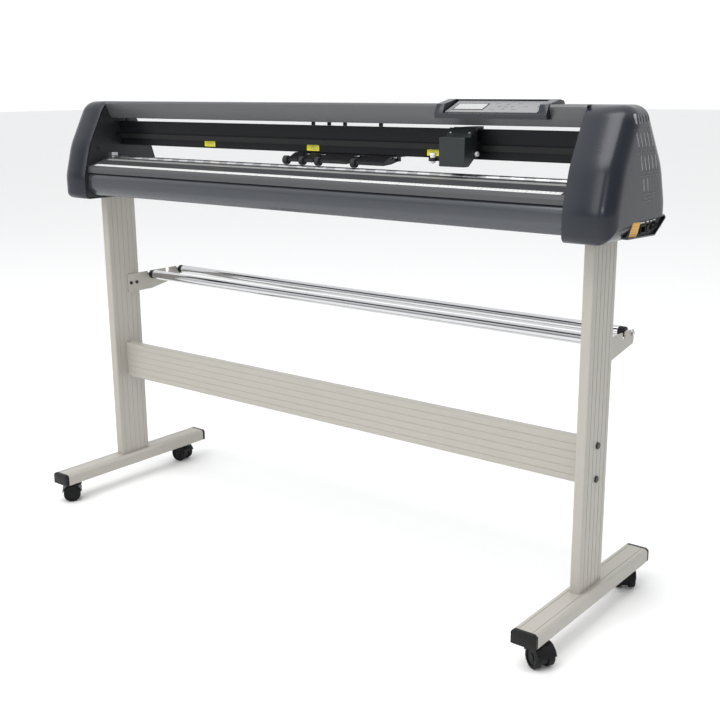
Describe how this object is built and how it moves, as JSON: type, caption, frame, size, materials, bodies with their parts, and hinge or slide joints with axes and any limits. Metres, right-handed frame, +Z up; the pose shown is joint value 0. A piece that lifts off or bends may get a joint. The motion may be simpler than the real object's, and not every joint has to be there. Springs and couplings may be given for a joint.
{
  "type": "vinyl cutter",
  "caption": "Floor-standing roll-fed vinyl cutter: long cutting head with end covers, carriage and pinch rollers on a T-leg stand with roll bars and casters.",
  "frame": {"origin": "on the floor, midway between the two feet and midway along them", "axes": "+X along the machine to the end with the keypad and connectors, +Y away from the operator, +Z up"},
  "size_m": [1.576, 0.508, 1.067],
  "materials": {
    "stand_paint": "satin light grey-beige coat on extruded aluminium",
    "steel": "plain machined steel",
    "zinc": "zinc-plated fasteners",
    "chrome": "polished chrome",
    "cover_plastic": "satin charcoal moulding",
    "black_plastic": "black moulding",
    "black_metal": "satin black",
    "grey_metal": "satin dark grey",
    "rail": "black anodised",
    "carriage": "satin grey-green",
    "keypad": "printed film",
    "window": "clear over a grey display",
    "ruler": "white printed strip",
    "ptfe": "low-friction strip",
    "rubber": "black rubber",
    "aluminium": "machined",
    "board": "green circuit board",
    "white_plastic": "white holder",
    "switch": "black rocker"
  },
  "bodies": {
    "frame": {"carriage_motor": "black_metal", "connector_panel": "black_plastic", "cover_screws": "zinc", "crossbar": "stand_paint", "cutting_strip": "ptfe", "display_window": "window", "feed_motor": "black_metal", "feet": "stand_paint", "foot_end_caps": "black_plastic", "front_panel": "grey_metal", "guide_rail": "steel", "keypad_bezel": "cover_plastic", "keypad_plate": "keypad", "left_end_cover": "cover_plastic", "main_board": "board", "panel_sockets": "black_plastic", "platen": "grey_metal", "post_mount_blocks": "steel", "posts": "stand_paint", "power_supply": "black_metal", "right_end_cover": "cover_plastic", "roll_brackets": "grey_metal", "ruler_strip": "ruler", "shaft_bearings": "aluminium", "side_plates": "grey_metal", "stand_bolts": "zinc", "timing_belts": "rubber", "top_beam": "grey_metal", "y_rail": "rail"},
    "front_left_caster": {"front_left_caster_hood": "black_plastic"},
    "front_left_wheels": {"front_left_caster_wheels": "rubber"},
    "front_right_caster": {"front_right_caster_hood": "black_plastic"},
    "front_right_wheels": {"front_right_caster_wheels": "rubber"},
    "rear_left_caster": {"rear_left_caster_hood": "black_plastic"},
    "rear_left_wheels": {"rear_left_caster_wheels": "rubber"},
    "rear_right_caster": {"rear_right_caster_hood": "black_plastic"},
    "rear_right_wheels": {"rear_right_caster_wheels": "rubber"},
    "front_roll_bar": {"front_roll_bar": "chrome"},
    "rear_roll_bar": {"rear_roll_bar": "chrome"},
    "carriage": {"carriage_plate": "black_metal", "carriage_cover": "carriage"},
    "tool_arm": {"tool_arm": "black_metal"},
    "blade_holder": {"blade_holder": "white_plastic"},
    "pinch_1_slider": {"pinch_1_mount": "black_metal"},
    "pinch_1_arm": {"pinch_1_arm": "black_metal"},
    "pinch_1_wheel": {"pinch_1_wheel": "rubber"},
    "pinch_2_slider": {"pinch_2_mount": "black_metal"},
    "pinch_2_arm": {"pinch_2_arm": "black_metal"},
    "pinch_2_wheel": {"pinch_2_wheel": "rubber"},
    "pinch_3_slider": {"pinch_3_mount": "black_metal"},
    "pinch_3_arm": {"pinch_3_arm": "black_metal"},
    "pinch_3_wheel": {"pinch_3_wheel": "rubber"},
    "pinch_4_slider": {"pinch_4_mount": "black_metal"},
    "pinch_4_arm": {"pinch_4_arm": "black_metal"},
    "pinch_4_wheel": {"pinch_4_wheel": "rubber"},
    "feed_shaft": {"grit_shaft": "steel"},
    "feed_motor_rotor": {"feed_motor_pulley": "steel"},
    "drive_pulley": {"drive_pulley": "steel"},
    "idler_pulley": {"idler_pulley": "steel"},
    "power_switch": {"power_switch": "switch"}
  },
  "joints": [
    {"name": "front_left_swivel", "type": "hinge", "parent": "frame", "child": "front_left_caster", "pos_m": [-0.7123, -0.2, 0.05], "axis": [0, 0, 1], "continuous": true},
    {"name": "front_left_wheel_spin", "type": "hinge", "parent": "front_left_caster", "child": "front_left_wheels", "pos_m": [-0.72154, -0.21182, 0.0225], "axis": [0.788, -0.6157, 0], "continuous": true},
    {"name": "front_right_swivel", "type": "hinge", "parent": "frame", "child": "front_right_caster", "pos_m": [0.7123, -0.2, 0.05], "axis": [0, 0, 1], "continuous": true},
    {"name": "front_right_wheel_spin", "type": "hinge", "parent": "front_right_caster", "child": "front_right_wheels", "pos_m": [0.72542, -0.20727, 0.0225], "axis": [0.4848, 0.8746, 0], "continuous": true},
    {"name": "rear_left_swivel", "type": "hinge", "parent": "frame", "child": "rear_left_caster", "pos_m": [-0.7123, 0.2, 0.05], "axis": [0, 0, 1], "continuous": true},
    {"name": "rear_left_wheel_spin", "type": "hinge", "parent": "rear_left_caster", "child": "rear_left_wheels", "pos_m": [-0.72707, 0.19739, 0.0225], "axis": [0.1736, -0.9848, 0], "continuous": true},
    {"name": "rear_right_swivel", "type": "hinge", "parent": "frame", "child": "rear_right_caster", "pos_m": [0.7123, 0.2, 0.05], "axis": [0, 0, 1], "continuous": true},
    {"name": "rear_right_wheel_spin", "type": "hinge", "parent": "rear_right_caster", "child": "rear_right_wheels", "pos_m": [0.70391, 0.21244, 0.0225], "axis": [-0.829, -0.5592, 0], "continuous": true},
    {"name": "front_roll_bar_spin", "type": "hinge", "parent": "frame", "child": "front_roll_bar", "pos_m": [0, 0.082, 0.587], "axis": [1, 0, 0], "continuous": true},
    {"name": "rear_roll_bar_spin", "type": "hinge", "parent": "frame", "child": "rear_roll_bar", "pos_m": [0, 0.189, 0.587], "axis": [1, 0, 0], "continuous": true},
    {"name": "carriage_travel", "type": "slide", "parent": "frame", "child": "carriage", "axis": [1, 0, 0], "range_m": [-1.028, 0.244]},
    {"name": "tool_drop", "type": "slide", "parent": "carriage", "child": "tool_arm", "axis": [0, 0, -1], "range_m": [0, 0.017], "stiffness_N_per_m": 120, "springref_m": -0.02},
    {"name": "blade_holder_set", "type": "slide", "parent": "tool_arm", "child": "blade_holder", "axis": [0, 0, -1], "range_m": [0, 0.0055]},
    {"name": "pinch_1_slide", "type": "slide", "parent": "frame", "child": "pinch_1_slider", "axis": [1, 0, 0], "range_m": [-0.58, 0.002]},
    {"name": "pinch_1_lift", "type": "hinge", "parent": "pinch_1_slider", "child": "pinch_1_arm", "pos_m": [-0.0645, 0.018, 0.939], "axis": [-1, 0, 0], "range_deg": [0, 6], "stiffness_Nm_per_rad": 0.9, "springref_deg": -34.38},
    {"name": "pinch_1_wheel_spin", "type": "hinge", "parent": "pinch_1_arm", "child": "pinch_1_wheel", "pos_m": [-0.0645, -0.03, 0.9303], "axis": [1, 0, 0], "continuous": true},
    {"name": "pinch_2_slide", "type": "slide", "parent": "frame", "child": "pinch_2_slider", "axis": [1, 0, 0], "range_m": [-0.002, 0.002]},
    {"name": "pinch_2_lift", "type": "hinge", "parent": "pinch_2_slider", "child": "pinch_2_arm", "pos_m": [-0.016, 0.018, 0.939], "axis": [-1, 0, 0], "range_deg": [0, 6], "stiffness_Nm_per_rad": 0.9, "springref_deg": -34.38},
    {"name": "pinch_2_wheel_spin", "type": "hinge", "parent": "pinch_2_arm", "child": "pinch_2_wheel", "pos_m": [-0.016, -0.03, 0.9303], "axis": [1, 0, 0], "continuous": true},
    {"name": "pinch_3_slide", "type": "slide", "parent": "frame", "child": "pinch_3_slider", "axis": [1, 0, 0], "range_m": [-0.002, 0.002]},
    {"name": "pinch_3_lift", "type": "hinge", "parent": "pinch_3_slider", "child": "pinch_3_arm", "pos_m": [0.031, 0.018, 0.939], "axis": [-1, 0, 0], "range_deg": [0, 6], "stiffness_Nm_per_rad": 0.9, "springref_deg": -34.38},
    {"name": "pinch_3_wheel_spin", "type": "hinge", "parent": "pinch_3_arm", "child": "pinch_3_wheel", "pos_m": [0.031, -0.03, 0.9303], "axis": [1, 0, 0], "continuous": true},
    {"name": "pinch_4_slide", "type": "slide", "parent": "frame", "child": "pinch_4_slider", "axis": [1, 0, 0], "range_m": [-0.005, 0.36]},
    {"name": "pinch_4_lift", "type": "hinge", "parent": "pinch_4_slider", "child": "pinch_4_arm", "pos_m": [0.134, 0.018, 0.939], "axis": [-1, 0, 0], "range_deg": [0, 6], "stiffness_Nm_per_rad": 0.9, "springref_deg": -34.38},
    {"name": "pinch_4_wheel_spin", "type": "hinge", "parent": "pinch_4_arm", "child": "pinch_4_wheel", "pos_m": [0.134, -0.03, 0.9303], "axis": [1, 0, 0], "continuous": true},
    {"name": "shaft_spin", "type": "hinge", "parent": "frame", "child": "feed_shaft", "pos_m": [0, -0.03, 0.912], "axis": [1, 0, 0], "continuous": true},
    {"name": "feed_motor_spin", "type": "hinge", "parent": "frame", "child": "feed_motor_rotor", "pos_m": [0.7, -0.03, 0.87], "axis": [1, 0, 0], "continuous": true},
    {"name": "drive_pulley_spin", "type": "hinge", "parent": "frame", "child": "drive_pulley", "pos_m": [0.718, 0.046, 0.99], "axis": [0, 0, 1], "range_deg": [-9221, 2203]},
    {"name": "idler_pulley_spin", "type": "hinge", "parent": "frame", "child": "idler_pulley", "pos_m": [-0.718, 0.046, 0.99], "axis": [0, 0, 1], "range_deg": [-9221, 2203]},
    {"name": "power_switch_rock", "type": "hinge", "parent": "frame", "child": "power_switch", "pos_m": [0.782, 0.046, 0.829], "axis": [0, -1, 0], "range_deg": [0, 14]}
  ],
  "couplings": [
    {"joint": "feed_motor_spin", "follows": "shaft_spin", "ratio": 2},
    {"joint": "drive_pulley_spin", "follows": "carriage_travel", "rad_per_m": 156.25},
    {"joint": "idler_pulley_spin", "follows": "carriage_travel", "rad_per_m": 156.25}
  ]
}
